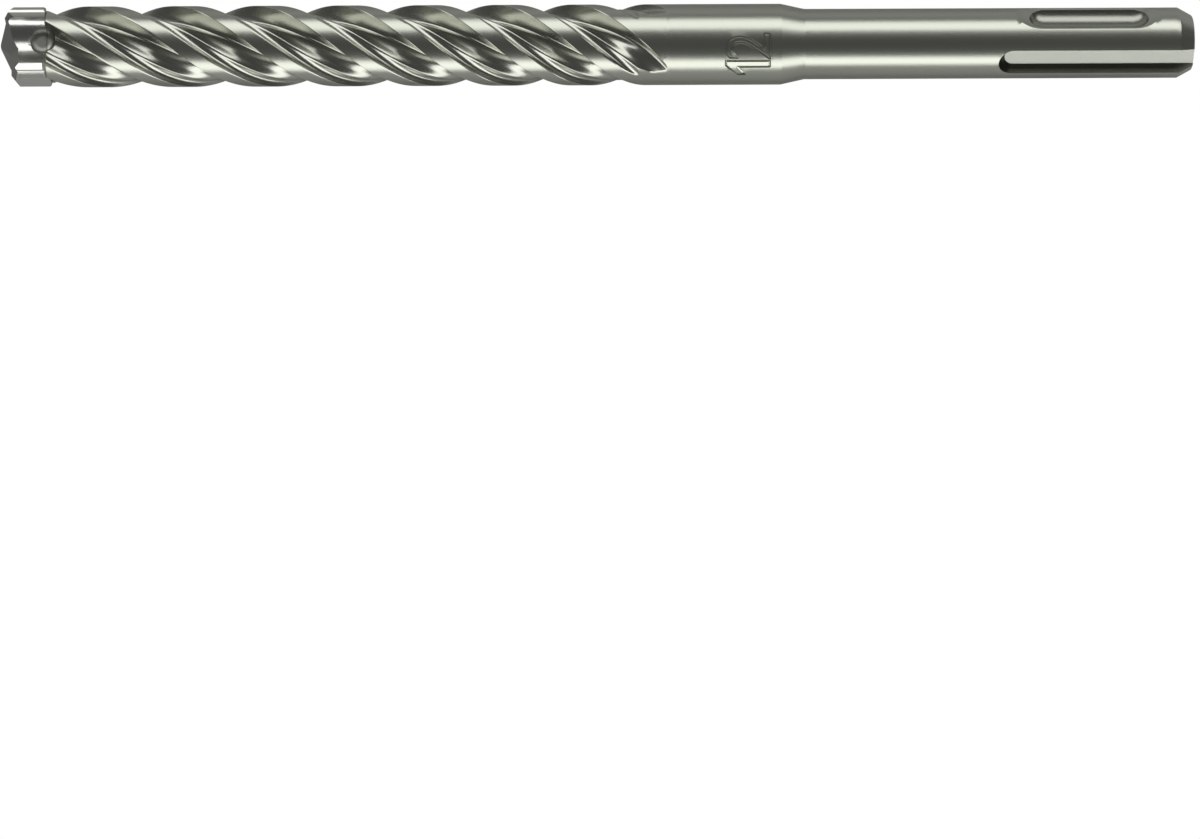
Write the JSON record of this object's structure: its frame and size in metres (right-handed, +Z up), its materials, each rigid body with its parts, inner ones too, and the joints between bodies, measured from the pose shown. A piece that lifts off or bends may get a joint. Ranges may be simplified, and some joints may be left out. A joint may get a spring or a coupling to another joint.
{
  "type": "sds plus drill bit",
  "caption": "Hammer drill bit with a cross-shaped carbide head, helical flutes, a plain collar and a round shank with open drive grooves and closed locking grooves.",
  "frame": {"origin": "on the surface the bit lies on, below the middle of its length, under the axis", "axes": "+X along the bit from the cutting tip to the shank end, +Z up, +Y toward the top of the picture; the bit lies on its lands and collar, shank a little clear of the surface"},
  "size_m": [0.17, 0.0116, 0.0115],
  "materials": {
    "tool_steel": "satin blasted, flutes polished",
    "carbide": "ground sides, matte front faces",
    "filler": "dark heat-stained filler"
  },
  "bodies": {
    "root": {"steel_body": "tool_steel", "carbide_head": "carbide", "braze_seam": "filler"}
  },
  "joints": []
}
